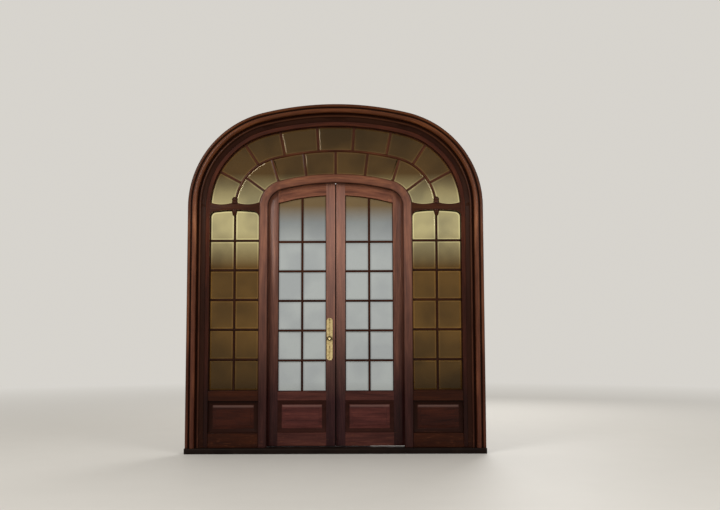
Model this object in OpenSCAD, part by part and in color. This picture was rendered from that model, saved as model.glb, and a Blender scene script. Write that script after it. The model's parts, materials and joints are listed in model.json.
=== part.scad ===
// Arched entrance door set: a pair of glazed leaves between fixed sidelights, under a
// fanlight of two bands, in a moulded casing. The lobby face looks along -Y, the wall
// surface is the plane Y = 0 and the sill's underside is Z = 0.

/* [Arch] */
// Height of the springing line above the sill's top
spring_h = 2440; // [2300:10:2600]
// Radius of the haunches at the casing's outer edge
haunch_r = 1000; // [940:5:1060]
// How far the crown rises above full circles of that radius
crown_lift = 62.5; // [50:0.5:80]

/* [Casing] */
// Width of the casing on the wall
casing_w = 180; // [170:2:200]
// How far the casing laps on to the wall beside the frame
wall_lap = 100; // [60:5:120]
// Thickness of the casing at its quirks
casing_t = 22; // [16:1:26]
// Width of the casing's outer bead
edge_bead_w = 36; // [28:1:40]
// Height of the outer bead over the quirk
edge_bead_h = 18; // [12:1:20]
// Width of the quirk between the outer bead and the ridge
quirk_w = 14; // [8:1:18]
// Width of the casing's main ridge
ridge_w = 44; // [36:1:48]
// Projection of the main ridge from the wall
ridge_h = 62; // [54:1:66]
// Radius of the hollow inside the ridge
hollow_r = 20; // [14:1:22]
// Width of the small bead inside the hollow
small_bead_w = 26; // [20:1:28]
// Thickness of the casing at its inner edge
casing_edge_t = 8; // [5:1:12]

/* [Frame] */
// Depth of the frame from the wall surface to the street face
frame_d = 120; // [110:5:140]
// Distance from the casing's outer edge to the frame's inner edge
light_margin = 222; // [210:2:236]
// Width of the sidelights between frame and post
light_w = 503; // [460:1:540]
// Clear width between the door posts
doorway_w = 1390; // [1320:10:1460]
// Width of each door post
post_w = 90; // [80:1:100]
// Rounding of the posts' and door head's edges towards the lobby
post_round = 18; // [6:1:22]
// Rounding of the frame's edges towards the lobby
frame_round = 8; // [3:1:12]
// Thickness of the sill
sill_t = 55; // [20:1:70]
// How far the sill stands out from the wall
sill_nose = 75; // [70:1:100]
// Rounding of the sill's front edge
sill_round = 12; // [4:1:18]

/* [Fanlight] */
// Distance from the frame's inner edge to the middle of the curved bar
outer_band_w = 253; // [230:1:270]
// Panes in the outer band
outer_panes = 9; // [7:2:11]
// Panes in the inner band
inner_panes = 8; // [6:2:10]

/* [Transoms] */
// Height of the transoms' top ends above the springing line
transom_lift = 44; // [30:1:60]
// Sag of each scallop in a transom's top
scallop_sag = 20; // [10:1:26]
// Depth of a transom over the crown of its sidelight
transom_w = 78; // [60:1:90]
// Rise of the flat arch over a sidelight
side_rise = 70; // [64:1:78]
// Corner radius of the flat arch over a sidelight
side_r = 58; // [46:1:62]
// Radius of the domed finial on each transom
finial_r = 30; // [20:1:32]
// Height of that finial
finial_h = 58; // [44:1:70]
// Radius of its neck as a share of its own
finial_neck = 0.8; // [0.65:0.05:0.9]
// Radius of the turned drop under each transom
drop_r = 28; // [18:1:30]
// Length of that drop
drop_len = 60; // [46:1:72]
// Radius of its lower part as a share of its own
drop_taper = 0.64; // [0.5:0.02:0.8]

/* [Lights] */
// Width of the glazing bars at the glass
bar_w = 24; // [18:1:30]
// Width of the glazing bars at their noses
nose_w = 10; // [6:1:14]
// Depth of the glazing bars
bar_d = 32; // [24:1:36]
// Width of the beads round the glass
bead_w = 8; // [6:0.5:11]
// Width of those beads at their edges away from the glass
bead_lip = 3; // [2:0.5:5]
// Depth of the square part of bars and beads
square_d = 14; // [11:1:18]
// Thickness of the glass
glass_t = 8; // [6:1:10]
// Height of the sidelights' lower edge above the sill's top
light_h = 564; // [530:2:600]
// Height of the lower edge of the leaves' lights above the sill's top
leaf_light_h = 554; // [530:2:600]
// Cross bars in each light
cross_bars = 5; // [3:1:6]
// How much taller the arched row of panes is than the others
top_row_extra = 2; // [0:1:30]

/* [Rails and panels] */
// Width of the sidelights' middle rails
mid_rail_w = 99; // [80:1:115]
// Height of the bottom panels' lower edge above the sill's top
panel_h = 140; // [120:5:180]
// How far the sidelight rails lie behind the posts' face
rail_back = 10; // [4:1:16]
// Width of the moulding round a bottom panel
mould_w = 46; // [36:1:54]
// Depth of that moulding
mould_d = 42; // [36:1:46]
// Width of that moulding's flat lip
mould_lip = 8; // [4:1:12]
// Thickness of a bottom panel at its edge
panel_edge_t = 14; // [10:1:18]
// Thickness of a bottom panel at its field
panel_field_t = 32; // [26:1:34]
// Width of the bevel that shows round a panel's field
panel_bevel = 32; // [24:1:44]
// How far a panel's edge runs into its moulding
panel_tongue = 12; // [8:1:18]
// Depth of the step where the bevel meets the field
field_step = 3; // [2:0.5:4]

/* [Leaves] */
// Thickness of the leaves
leaf_t = 50; // [44:1:56]
// Depth of the rebate that the leaves shut into, across the posts
rebate_w = 15; // [12:1:20]
// Running gap round the leaves
leaf_gap = 6; // [6:0.5:8]
// Gap between a leaf and the sill
foot_gap = 8; // [6:1:12]
// Bevel on the leaves' meeting edges
edge_bevel = 3; // [2:0.5:5]
// Width of a hinge stile
hinge_stile_w = 113; // [100:1:130]
// Width of a meeting stile
meeting_stile_w = 94; // [92:1:110]
// Width of a leaf's top rail at the middle of the doorway
top_rail_w = 129; // [110:1:145]
// Width of the bead beside the meeting line
cover_bead_w = 16; // [12:1:20]
// Projection of that bead from the leaf
cover_bead_h = 5; // [3:0.5:5.5]
// Distance of that bead from the leaf's edge
cover_quirk = 2; // [1:0.5:5]

/* [Hinges] */
// Distance of the end hinges' middles from the sill's top and from the springing line
hinge_end = 220; // [160:5:280]
// Height of a hinge
hinge_h = 100; // [80:2:120]
// Thickness of a hinge plate
plate_t = 2.5; // [2:0.1:2.5]
// Radius of a hinge knuckle
knuckle_r = 7; // [6.5:0.1:8]
// Radius of a hinge pin
pin_r = 4; // [3:0.1:4.5]
// Running clearance of a pin in its bore
pin_play = 0.05; // [0.03:0.01:0.09]

/* [Lock] */
// Distance of the knob from the meeting edge
lock_back = 59.5; // [50:0.5:62]
// Height of the knob above the sill's top
knob_h = 1090; // [1060:5:1120]
// Height of the keyhole above the sill's top
keyhole_h = 1010; // [990:2:1020]
// Radius of the knob
knob_r = 23; // [19:0.5:26]
// Thickness of the knob's round head
knob_t = 26; // [20:1:32]
// Radius of the dish in the knob's face
dish_r = 9; // [6:0.5:10]
// Depth of that dish
dish_depth = 2.5; // [1:0.5:4]
// Distance from a lock plate to the middle of the knob
knob_out = 36; // [34:1:42]
// Radius of the knob's spindle
spindle_r = 8; // [6:0.5:9]
// Radius of the collars round the spindle
collar_r = 16; // [13:0.5:20]
// Thickness of those collars
collar_t = 5; // [3:0.5:8]
// Width of the lock plates
lock_plate_w = 60; // [52:1:62]
// Height of the lock plates
lock_plate_h = 430; // [410:2:460]
// Height of the lock plates' middle above the sill's top
lock_plate_mid = 1083; // [1070:1:1095]
// Thickness of the lock plates
lock_plate_t = 4; // [3:0.5:5]
// Radius of the keyhole's eye
keyhole_r = 5; // [4:0.5:6]

/* [Hidden] */

// Sides of a full circle: small rounds, the long arcs of the arches, and moulded beads
$fn = 48;
arc_fn = 360;
bead_fn = 36;

LEFT = -1;
RIGHT = 1;

wood = "#5a2e1c";
dark_wood = "#3a1a10";
brass = "#b9a56e";
pane = "#c8d2c8";
stone = "#2c2622";

// Distances inwards from the casing's outer edge
curved_bar_in = light_margin + outer_band_w;
post_in = light_margin + light_w;
stop_in = post_in + post_w;
rebate_in = stop_in - rebate_w;
leaf_in = rebate_in + leaf_gap;
leaf_light_in = leaf_in + top_rail_w;

// Centres of the three arcs: two haunches on the springing line and the crown below it
half_w = stop_in + doorway_w / 2;
overall_w = 2 * half_w;
haunch_x = half_w - haunch_r;
arch_rise = haunch_r + crown_lift;
crown_drop = (haunch_x ^ 2 - crown_lift ^ 2) / (2 * crown_lift);
crown_r = arch_rise + crown_drop;
crown_half_angle = atan2(haunch_x, crown_drop);
haunch_angle = 90 - crown_half_angle;

// Lights and leaves across the doorway, for the right-hand side
light_x1 = half_w - light_margin;
light_x0 = half_w - post_in;
light_x = (light_x0 + light_x1) / 2;
leaf_x0 = leaf_gap / 2;
leaf_x1 = half_w - leaf_in;
pane_x0 = leaf_x0 + meeting_stile_w;
pane_x1 = leaf_x1 - hinge_stile_w;
panel_top = light_h - mid_rail_w;
pane_h = light_h + bead_w;
leaf_pane_h = leaf_light_h + bead_w;
transom_top = spring_h + transom_lift;
side_crown = transom_top - transom_w;
row_h = (side_crown - bead_w - pane_h - top_row_extra) / (cross_bars + 1);

// Depths, from the wall surface towards the street
leaf_y1 = frame_d;
leaf_y0 = leaf_y1 - leaf_t;
stop_y = leaf_y0 - leaf_gap;
glass_y = frame_d / 2;
leaf_glass_y = (leaf_y0 + leaf_y1) / 2;
rail_y0 = rail_back;
rail_y1 = frame_d - rail_back;

// Hinge axis, for the right-hand leaf, and the seats of its plates
hinge_heights = [hinge_end, spring_h / 2, spring_h - hinge_end];
hinge_x = leaf_x1 + leaf_gap / 2;
knuckle_lift = 0.5;
hinge_y = frame_d + knuckle_r + knuckle_lift;
plate_back = 6;
hinge_plate_y = leaf_y0 + plate_back;
knuckle_gap = 0.2;
pin_short = 4;

// Lock set, for the left-hand leaf
lock_x = leaf_x0 + lock_back;

// Overrun of cuts, the gap beside an ornament, and a length past every edge
slack = 1;
ornament_gap = 0.3;
reach = 2 * crown_r;

function rad(angle) = angle * PI / 180;
function deg(angle) = angle * 180 / PI;

// Length of one haunch, of the crown, and of the whole arch line at a distance inwards
function haunch_len(inset) = rad(haunch_angle) * (haunch_r - inset);
function crown_len(inset) = rad(2 * crown_half_angle) * (crown_r - inset);
function arch_len(inset) = 2 * haunch_len(inset) + crown_len(inset);

// Centre, direction and outer radius of the arc at a length along the arch line
function arc_at(along, inset) =
    along < haunch_len(inset) ?
        [-haunch_x, 0, 180 - deg(along / (haunch_r - inset)), haunch_r]
    : along <= haunch_len(inset) + crown_len(inset) ?
        [0, -crown_drop,
         90 + crown_half_angle - deg((along - haunch_len(inset)) / (crown_r - inset)), crown_r]
    : [haunch_x, 0, deg((arch_len(inset) - along) / (haunch_r - inset)), haunch_r];

// Mirrors what is drawn for the right-hand side when side is LEFT
module on_side(side) {
    if (side == LEFT) mirror([1, 0, 0]) children();
    else children();
}

// Stands up what lies with x across, y up from the sill's top and z towards the lobby
module stand() {
    translate([0, 0, sill_t]) rotate([90, 0, 0]) children();
}

// Raises an outline in the X-Z plane from y0 to y1, with heights from the sill's top
module slab(y0, y1) {
    stand() translate([0, 0, -y1]) linear_extrude(y1 - y0) children();
}

// Raises a plan outline from height z0 to z1 above the sill's top
module upright(z0, z1) {
    translate([0, 0, sill_t + z0]) linear_extrude(z1 - z0) children();
}

// A section with x inwards from the outer edge and y towards the lobby, carried up one
// side, round a haunch and over the crown
module up_side(side, z1) {
    on_side(side) upright(0, z1) translate([half_w, 0]) rotate(180) children();
}

module over_haunch(side) {
    on_side(side) stand() translate([haunch_x, spring_h])
        rotate_extrude(angle = haunch_angle, $fn = arc_fn)
            translate([haunch_r, 0]) mirror([1, 0]) children();
}

module over_crown() {
    stand() translate([0, spring_h - crown_drop]) rotate(haunch_angle)
        rotate_extrude(angle = 2 * crown_half_angle, $fn = arc_fn)
            translate([crown_r, 0]) mirror([1, 0]) children();
}

// Everything under a three-centred arch, from the line z = 0 up
module under_arch(half, spring, r, rise) {
    difference() {
        intersection() {
            translate([0, spring + rise - crown_radius(half, r, rise)])
                circle(crown_radius(half, r, rise), $fn = arc_fn);
            translate([-half, 0]) square([2 * half, spring + 2 * rise]);
        }
        for (turn = [0, 1]) mirror([turn, 0]) translate([half - r, spring]) difference() {
            beyond_haunch(half, r, rise);
            circle(r, $fn = arc_fn);
        }
    }
}

// Radius of the crown that meets two haunches of radius r over a span of twice half
function crown_radius(half, r, rise) =
    rise + ((half - r) ^ 2 - (rise - r) ^ 2) / (2 * (rise - r));

// The corner beside and over a haunch, from its centre out
module beyond_haunch(half, r, rise) {
    angle = atan2(half - r, crown_radius(half, r, rise) - rise);
    polygon([[0, 0], [2 * r, 0], [2 * r, 2 * r], [2 * r * sin(angle), 2 * r * cos(angle)]]);
}

// The solid under a three-centred arch whose edge has the children as its section, with x
// inwards from the edge and y towards the lobby
module moulded_arch(half, spring, r, rise) {
    top = spring + 2 * rise;
    difference() {
        intersection() {
            translate([0, spring + rise - crown_radius(half, r, rise)])
                turned(crown_radius(half, r, rise)) children();
            translate([0, top]) rotate([90, 0, 0]) linear_extrude(top) intersection() {
                translate([-half, 0]) children();
                translate([half, 0]) mirror([1, 0]) children();
            }
        }
        for (turn = [0, 1]) mirror([turn, 0]) translate([half - r, spring]) difference() {
            translate([0, 0, -2 * frame_d]) linear_extrude(4 * frame_d)
                beyond_haunch(half, r, rise);
            turned(r) children();
        }
    }
}

// A disc of radius r whose edge has the children as its section
module turned(r) {
    rotate(-90) rotate_extrude($fn = arc_fn) intersection() {
        translate([r, 0]) mirror([1, 0]) children();
        translate([0, -reach]) square([reach, 2 * reach]);
    }
}

// The whole set's arch line, as an outline and as a solid with a section
module inside(inset) {
    under_arch(half_w - inset, spring_h, haunch_r - inset, arch_rise - inset);
}

module moulded_inside() {
    moulded_arch(half_w, spring_h, haunch_r, arch_rise) children();
}

module crown_disc(inset) {
    translate([0, spring_h - crown_drop]) circle(crown_r - inset, $fn = arc_fn);
}

// What is cut from the corner of a section that fills the quarter x > 0, y > 0
module corner_cut(r) {
    difference() {
        translate([-slack, -slack]) square(r + slack);
        translate([r, r]) circle(r);
    }
}

// Section of a member from its outer edge inwards, and of the space past its inner edge,
// with the edge towards the lobby rounded
module from_edge(inset, round_r) {
    difference() {
        translate([inset, -frame_d]) square([reach, frame_d]);
        translate([inset, 0]) rotate(-90) corner_cut(round_r);
    }
}

module past_edge(inset, round_r) {
    translate([inset, -2 * frame_d]) square([reach, 4 * frame_d]);
    translate([inset, 0]) rotate(180) corner_cut(round_r);
}

// Section of the doorway: its full width in front, the leaves' rebate behind
module doorway_section() {
    translate([rebate_in, -2 * frame_d]) square([reach, 2 * frame_d - stop_y]);
    past_edge(stop_in, post_round);
}

// Half sections of bars and beads: w wide over their square part and lip wide at their
// noses. One is the wood from the middle line inwards, the other the space beside it
module wood_from(w, lip) {
    polygon([[-w, -square_d / 2], [-w, square_d / 2], [-lip, bar_d / 2], [reach, bar_d / 2],
             [reach, -bar_d / 2], [-lip, -bar_d / 2]]);
}

module space_past(w, flat, lip, depth) {
    polygon([[w, -flat / 2], [w, flat / 2], [lip, depth / 2], [lip, reach], [reach, reach],
             [reach, -reach], [lip, -reach], [lip, -depth / 2]]);
}

module past_bead() {
    space_past(bead_w, square_d, bead_lip, bar_d);
}

// Full section of a glazing bar, x across and y deep
module bar_section() {
    intersection() {
        wood_from(bar_w / 2, nose_w / 2);
        mirror([1, 0]) wood_from(bar_w / 2, nose_w / 2);
    }
}

// Carries a section from both sides of a span inwards, about the depth y
module between_sides(x0, x1, y) {
    upright(-2 * spring_h, 2 * spring_h) intersection() {
        translate([x0, y]) children();
        translate([x1, y]) mirror([1, 0]) children();
    }
}

// Carries a section from the height z up, or down where turn is 1, along X
module from_height(z, y, turn = 0) {
    translate([0, y, sill_t + z]) rotate([90, 0, 90]) linear_extrude(half_w)
        mirror([0, turn]) rotate(90) children();
}

// Everything below the transoms' scalloped tops
module below_fanlight() {
    difference() {
        translate([-half_w, 0]) square([overall_w, transom_top]);
        for (turn = [0, 1], ends = [[curved_bar_in + bar_w / 2, post_in],
                                    [light_margin, curved_bar_in - bar_w / 2]])
            mirror([turn, 0]) scallop(ends);
    }
}

module scallop(ends) {
    chord = ends[1] - ends[0];
    r = chord ^ 2 / (8 * scallop_sag) + scallop_sag / 2;
    translate([half_w - (ends[0] + ends[1]) / 2, transom_top - scallop_sag + r])
        circle(r, $fn = arc_fn);
}

module below_springing() {
    translate([-half_w, -slack, -2 * frame_d])
        cube([overall_w, spring_h + slack, 4 * frame_d]);
}

module band(outer_in, inner_in) {
    difference() {
        inside(outer_in);
        inside(inner_in);
        below_fanlight();
    }
}

// Radial bars, spaced evenly along the arch line
module spokes(count, inset, outer_in, inner_in) {
    for (i = [1 : count - 1]) along_spoke(i / count, inset, inner_in)
        translate([-bar_w, -bar_w / 2]) square([inner_in - outer_in + 2 * bar_w, bar_w]);
}

// Puts what lies along x at a share of the arch line, from the distance inner_in outwards
module along_spoke(share, inset, inner_in) {
    arc = arc_at(share * arch_len(inset), inset);
    translate([arc[0], spring_h + arc[1]]) rotate(arc[2]) translate([arc[3] - inner_in, 0])
        children();
}

// Glazed openings for the right-hand side, smaller all round by the inset
module side_light(inset) {
    intersection() {
        translate([light_x, 0])
            under_arch(light_w / 2 - inset, side_crown - side_rise, side_r - inset,
                       side_rise - inset);
        translate([0, light_h + inset]) square([half_w, spring_h]);
    }
}

module moulded_side_light() {
    translate([light_x, 0])
        moulded_arch(light_w / 2, side_crown - side_rise, side_r, side_rise) children();
}

module leaf_light(inset) {
    intersection() {
        crown_disc(leaf_light_in + inset);
        translate([pane_x0 + inset, leaf_light_h + inset])
            square([pane_x1 - pane_x0 - 2 * inset, spring_h]);
    }
}

// The space inside the beads of a sidelight and of a leaf
module side_light_space() {
    intersection() {
        stand() moulded_side_light() translate([0, -glass_y]) past_bead();
        from_height(light_h, glass_y) past_bead();
    }
}

module leaf_light_space() {
    intersection() {
        between_sides(pane_x0, pane_x1, leaf_glass_y) past_bead();
        stand() translate([0, spring_h - crown_drop]) turned(crown_r - leaf_light_in)
            translate([0, -leaf_glass_y]) past_bead();
        from_height(leaf_light_h, leaf_glass_y) past_bead();
    }
}

// Upright bar and cross bars over a light whose middle is at x and whose panes start at
// the height z, as outlines and as bars
module bar_grid(x, z) {
    translate([x - bar_w / 2, 0]) square([bar_w, 2 * spring_h]);
    for (i = [1 : cross_bars])
        translate([0, z + i * row_h - bar_w / 2]) square([half_w, bar_w]);
}

module moulded_grid(x, y, z) {
    upright(0, 2 * spring_h) translate([x, y]) bar_section();
    for (i = [1 : cross_bars]) from_height(z + i * row_h, y) bar_section();
}

// A panel with a raised field on both faces, in a splayed moulding, between x0 and x1
module fielded_panel(x0, x1, y) {
    margin = mould_w - panel_tongue;
    panel_w = x1 - x0 - 2 * margin;
    panel_z = panel_top - panel_h - 2 * margin;
    intersection() {
        upright(panel_h, panel_top) translate([(x0 + x1) / 2, y]) panel_section(panel_w);
        from_height((panel_h + panel_top) / 2, y) panel_section(panel_z);
    }
    difference() {
        slab(y - mould_d / 2, y + mould_d / 2) translate([x0, panel_h])
            square([x1 - x0, panel_top - panel_h]);
        intersection() {
            between_sides(x0, x1, y) past_moulding();
            from_height(panel_h, y) past_moulding();
            from_height(panel_top, y, 1) past_moulding();
        }
    }
}

module past_moulding() {
    space_past(mould_w, square_d, mould_lip, mould_d);
}

module panel_section(w) {
    field_w = w - 2 * (panel_bevel + panel_tongue);
    bevel_t = panel_field_t - 2 * field_step;
    polygon([[-w / 2, -panel_edge_t / 2], [-field_w / 2, -bevel_t / 2],
             [-field_w / 2, -panel_field_t / 2], [field_w / 2, -panel_field_t / 2],
             [field_w / 2, -bevel_t / 2], [w / 2, -panel_edge_t / 2],
             [w / 2, panel_edge_t / 2], [field_w / 2, bevel_t / 2],
             [field_w / 2, panel_field_t / 2], [-field_w / 2, panel_field_t / 2],
             [-field_w / 2, bevel_t / 2], [-w / 2, panel_edge_t / 2]]);
}

module sill() {
    color(stone) translate([-half_w, 0, 0]) rotate([90, 0, 90]) linear_extrude(overall_w)
        difference() {
            translate([-sill_nose, 0]) square([sill_nose + frame_d, sill_t]);
            translate([-sill_nose, sill_t]) rotate(-90) corner_cut(sill_round);
        }
}

// Section of the casing: outer bead, quirk, ridge, hollow, small bead and slope
module casing_section() {
    ridge_x = edge_bead_w + quirk_w;
    hollow_x = ridge_x + ridge_w;
    bead_x = hollow_x + hollow_r;
    slope_x = bead_x + small_bead_w;
    hollow_top = casing_edge_t + hollow_r;
    slope_top = casing_edge_t + small_bead_w / 2;
    difference() {
        polygon([[0, 0], [casing_w, 0], [casing_w, casing_edge_t], [slope_x, slope_top],
                 [bead_x, slope_top], [bead_x, hollow_top], [ridge_x, hollow_top],
                 [ridge_x, casing_t], [0, casing_t]]);
        intersection() {
            translate([bead_x, hollow_top]) circle(hollow_r, $fn = bead_fn);
            translate([hollow_x, 0]) square([hollow_r, 2 * hollow_top]);
        }
    }
    round_bead(0, edge_bead_w, casing_t + edge_bead_h);
    round_bead(ridge_x, ridge_w, ridge_h);
    round_bead(bead_x, small_bead_w, casing_edge_t + small_bead_w);
}

// A bead with a half-round top, w wide and h high, that starts at x
module round_bead(x, w, h) {
    translate([x, 0]) square([w, h - w / 2]);
    translate([x + w / 2, h - w / 2]) circle(w / 2, $fn = bead_fn);
}

module casing_leg(side) {
    color(wood) up_side(side, spring_h) casing_section();
}

module casing_haunch(side) {
    color(wood) over_haunch(side) casing_section();
}

module casing_crown() {
    color(wood) over_crown() casing_section();
}

module jamb(side) {
    color(wood) up_side(side, spring_h) difference() {
        translate([wall_lap, -frame_d]) square([reach, frame_d]);
        past_edge(light_margin, frame_round);
    }
}

module frame_arch() {
    color(wood) stand() difference() {
        moulded_inside() translate([wall_lap, -frame_d]) square([reach, frame_d]);
        moulded_inside() past_edge(light_margin, frame_round);
        below_springing();
    }
}

module post(side) {
    color(wood) up_side(side, spring_h) difference() {
        from_edge(post_in, post_round);
        doorway_section();
    }
}

module door_head() {
    color(wood) stand() difference() {
        moulded_inside() from_edge(post_in, post_round);
        moulded_inside() doorway_section();
        below_springing();
    }
}

module transom(side) {
    color(wood) on_side(side) {
        slab(0, frame_d) difference() {
            intersection() {
                inside(light_margin);
                below_fanlight();
                translate([light_x0 - post_w, side_crown - side_rise])
                    square([half_w, spring_h]);
            }
            inside(post_in);
            side_light(0);
        }
        transom_finial();
        transom_drop();
    }
}

// Domed finial where the curved bar meets the transom, in front of the bar
module transom_finial() {
    foot = finial_r / 3;
    middle = finial_h + foot - finial_r;
    translate([half_w - curved_bar_in, glass_y - bar_d / 2 - ornament_gap - finial_r,
               sill_t + transom_top - foot]) rotate_extrude() {
        square([finial_r * finial_neck, middle]);
        square([finial_r, 2 * foot]);
        round_end(middle, finial_r, middle - finial_r / 2);
    }
}

// Turned drop under the transom, in front of the upright bar
module transom_drop() {
    tip = drop_r * drop_taper;
    translate([light_x, glass_y - bar_d / 2 - ornament_gap - drop_r,
               sill_t + side_crown + slack]) rotate([180, 0, 0]) rotate_extrude() {
        square([drop_r, drop_len / 3]);
        square([tip, drop_len - tip]);
        round_end(drop_len - tip, tip, 0);
    }
}

// Half of a disc of the radius r about the height z, what lies above the height z0
module round_end(z, r, z0) {
    intersection() {
        translate([0, z]) circle(r);
        translate([0, z0]) square([r + slack, z + 2 * r]);
    }
}

// The fanlight's curved bar: the arch within its outer face, less the arch within its inner
module within_curved_bar() {
    moulded_inside() translate([curved_bar_in, -glass_y]) wood_from(bar_w / 2, nose_w / 2);
}

module past_curved_bar() {
    moulded_inside() translate([curved_bar_in, -glass_y])
        space_past(bar_w / 2, square_d, nose_w / 2, bar_d);
}

module fanlight_curved_bar() {
    color(wood) stand() difference() {
        within_curved_bar();
        past_curved_bar();
        translate([0, 0, -frame_d]) linear_extrude(frame_d) below_fanlight();
    }
}

// Radial bars across a band, and the bead along its outer or inner edge
module fanlight_outer_bars() {
    color(wood) slab(glass_y - bar_d / 2, glass_y + bar_d / 2) difference() {
        band(light_margin, curved_bar_in - bar_w / 2);
        difference() {
            band(light_margin + bead_w, curved_bar_in);
            spokes(outer_panes, light_margin, light_margin, curved_bar_in);
        }
    }
}

module fanlight_inner_bars() {
    color(wood) slab(glass_y - bar_d / 2, glass_y + bar_d / 2) difference() {
        band(curved_bar_in + bar_w / 2, post_in);
        difference() {
            band(curved_bar_in, post_in - bead_w);
            spokes(inner_panes, curved_bar_in, curved_bar_in, post_in);
        }
    }
}

module fanlight_outer_glass() {
    color(pane) slab(glass_y - glass_t / 2, glass_y + glass_t / 2) difference() {
        band(light_margin + bead_w, curved_bar_in - bar_w / 2);
        spokes(outer_panes, light_margin, light_margin, curved_bar_in);
    }
}

module fanlight_inner_glass() {
    color(pane) slab(glass_y - glass_t / 2, glass_y + glass_t / 2) difference() {
        band(curved_bar_in + bar_w / 2, post_in - bead_w);
        spokes(inner_panes, curved_bar_in, curved_bar_in, post_in);
    }
}

module sidelight_rails(side) {
    color(wood) on_side(side) for (rail = [[0, panel_h], [panel_top, light_h]])
        slab(rail_y0, rail_y1) translate([light_x0, rail[0]])
            square([light_x1 - light_x0, rail[1] - rail[0]]);
}

module sidelight_panel(side) {
    color(dark_wood) on_side(side) fielded_panel(light_x0, light_x1, glass_y);
}

module sidelight_bars(side) {
    color(wood) on_side(side) difference() {
        slab(glass_y - bar_d / 2, glass_y + bar_d / 2) side_light(0);
        difference() {
            side_light_space();
            moulded_grid(light_x, glass_y, pane_h);
        }
    }
}

module sidelight_glass(side) {
    color(pane) on_side(side) slab(glass_y - glass_t / 2, glass_y + glass_t / 2) difference() {
        side_light(bead_w);
        bar_grid(light_x, pane_h);
    }
}

// The frame's half of each hinge: a plate on the rebate, a knuckle and the pin
module frame_hinges(side) {
    color(brass) on_side(side) for (height = hinge_heights) {
        half_h = hinge_h / 2;
        upright(height - half_h, height + half_h)
            translate([hinge_x + leaf_gap / 2 - plate_t, hinge_plate_y])
                square([plate_t, frame_d - hinge_plate_y]);
        upright(height - half_h, height - knuckle_gap) {
            translate([hinge_x + leaf_gap / 2 - plate_t, frame_d - slack])
                square([plate_t, hinge_y - frame_d + slack]);
            translate([hinge_x, hinge_y]) circle(knuckle_r);
        }
        upright(height - half_h, height + half_h - pin_short)
            translate([hinge_x, hinge_y]) circle(pin_r);
    }
}

// The leaf's half of each hinge: a plate on the edge and a bored knuckle
module leaf_hinges(side) {
    color(brass) on_side(side) for (height = hinge_heights) {
        half_h = hinge_h / 2;
        upright(height - half_h, height + half_h) translate([leaf_x1, hinge_plate_y])
            square([plate_t, leaf_y1 - hinge_plate_y]);
        upright(height + knuckle_gap, height + half_h) difference() {
            union() {
                translate([leaf_x1, frame_d - slack])
                    square([plate_t, hinge_y - frame_d + slack]);
                translate([hinge_x, hinge_y]) circle(knuckle_r);
            }
            translate([hinge_x, hinge_y]) circle(pin_r + pin_play);
        }
    }
}

module hinge_stile(side) {
    color(wood) on_side(side) slab(leaf_y0, leaf_y1) intersection() {
        inside(leaf_in);
        translate([pane_x1, foot_gap]) square([hinge_stile_w, 2 * spring_h]);
    }
}

// Stile with a bevelled meeting edge; the left one is bored for the knob's spindle
module meeting_stile(side) {
    front_y = side == RIGHT ? leaf_y0 - cover_bead_h : leaf_y0;
    color(wood) on_side(side) difference() {
        intersection() {
            upright(foot_gap, 2 * spring_h) difference() {
                polygon([[leaf_x0 + edge_bevel, front_y], [leaf_x0 + edge_bevel, leaf_y0],
                         [leaf_x0, leaf_y1], [pane_x0, leaf_y1], [pane_x0, front_y]]);
                if (side == RIGHT) beside_cover_bead();
            }
            slab(0, 2 * frame_d) inside(leaf_in);
        }
        if (side == RIGHT) slab(0, leaf_y0) difference() {
            translate([-half_w, 0]) square([overall_w, 2 * spring_h]);
            inside(stop_in + leaf_gap);
        }
        if (side == LEFT)
            slab(leaf_y0 - slack, leaf_y1 + slack) translate([lock_x, knob_h])
                circle(spindle_r + pin_play);
    }
}

// What is cut from the lobby face to leave a half-round bead beside the meeting line
module beside_cover_bead() {
    bead_x = leaf_x0 + edge_bevel + cover_quirk + cover_bead_w / 2;
    difference() {
        square([pane_x0 + slack, leaf_y0]);
        translate([bead_x, leaf_y0 + cover_bead_w / 2 - cover_bead_h]) circle(cover_bead_w / 2);
    }
}

module leaf_top_rail(side) {
    color(wood) on_side(side) slab(leaf_y0, leaf_y1) intersection() {
        inside(leaf_in);
        difference() {
            translate([pane_x0, side_crown - side_rise])
                square([pane_x1 - pane_x0, spring_h]);
            crown_disc(leaf_light_in);
        }
    }
}

module leaf_rails(side) {
    color(wood) on_side(side)
        for (rail = [[foot_gap, panel_h], [panel_top, leaf_light_h]])
            slab(leaf_y0, leaf_y1) translate([pane_x0, rail[0]])
                square([pane_x1 - pane_x0, rail[1] - rail[0]]);
}

module leaf_panel(side) {
    color(dark_wood) on_side(side) fielded_panel(pane_x0, pane_x1, leaf_glass_y);
}

module leaf_bars(side) {
    color(wood) on_side(side) difference() {
        slab(leaf_glass_y - bar_d / 2, leaf_glass_y + bar_d / 2) leaf_light(0);
        difference() {
            leaf_light_space();
            moulded_grid((pane_x0 + pane_x1) / 2, leaf_glass_y, leaf_pane_h);
        }
    }
}

module leaf_glass(side) {
    color(pane) on_side(side) slab(leaf_glass_y - glass_t / 2, leaf_glass_y + glass_t / 2)
        difference() {
            leaf_light(bead_w);
            bar_grid((pane_x0 + pane_x1) / 2, leaf_pane_h);
        }
}

// Outline of a lock plate with round ends, and of the holes for spindle and key
module lock_plate_outline() {
    straight = lock_plate_h / 2 - lock_plate_w / 2;
    translate([lock_x, lock_plate_mid]) {
        translate([-lock_plate_w / 2, -straight]) square([lock_plate_w, 2 * straight]);
        for (end = [-1, 1]) translate([0, end * straight]) circle(lock_plate_w / 2);
    }
}

module lock_holes() {
    translate([lock_x, knob_h]) circle(spindle_r + pin_play);
    translate([lock_x, keyhole_h]) {
        circle(keyhole_r);
        translate([-keyhole_r / 2, -3 * keyhole_r]) square([keyhole_r, 3 * keyhole_r]);
    }
}

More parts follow.
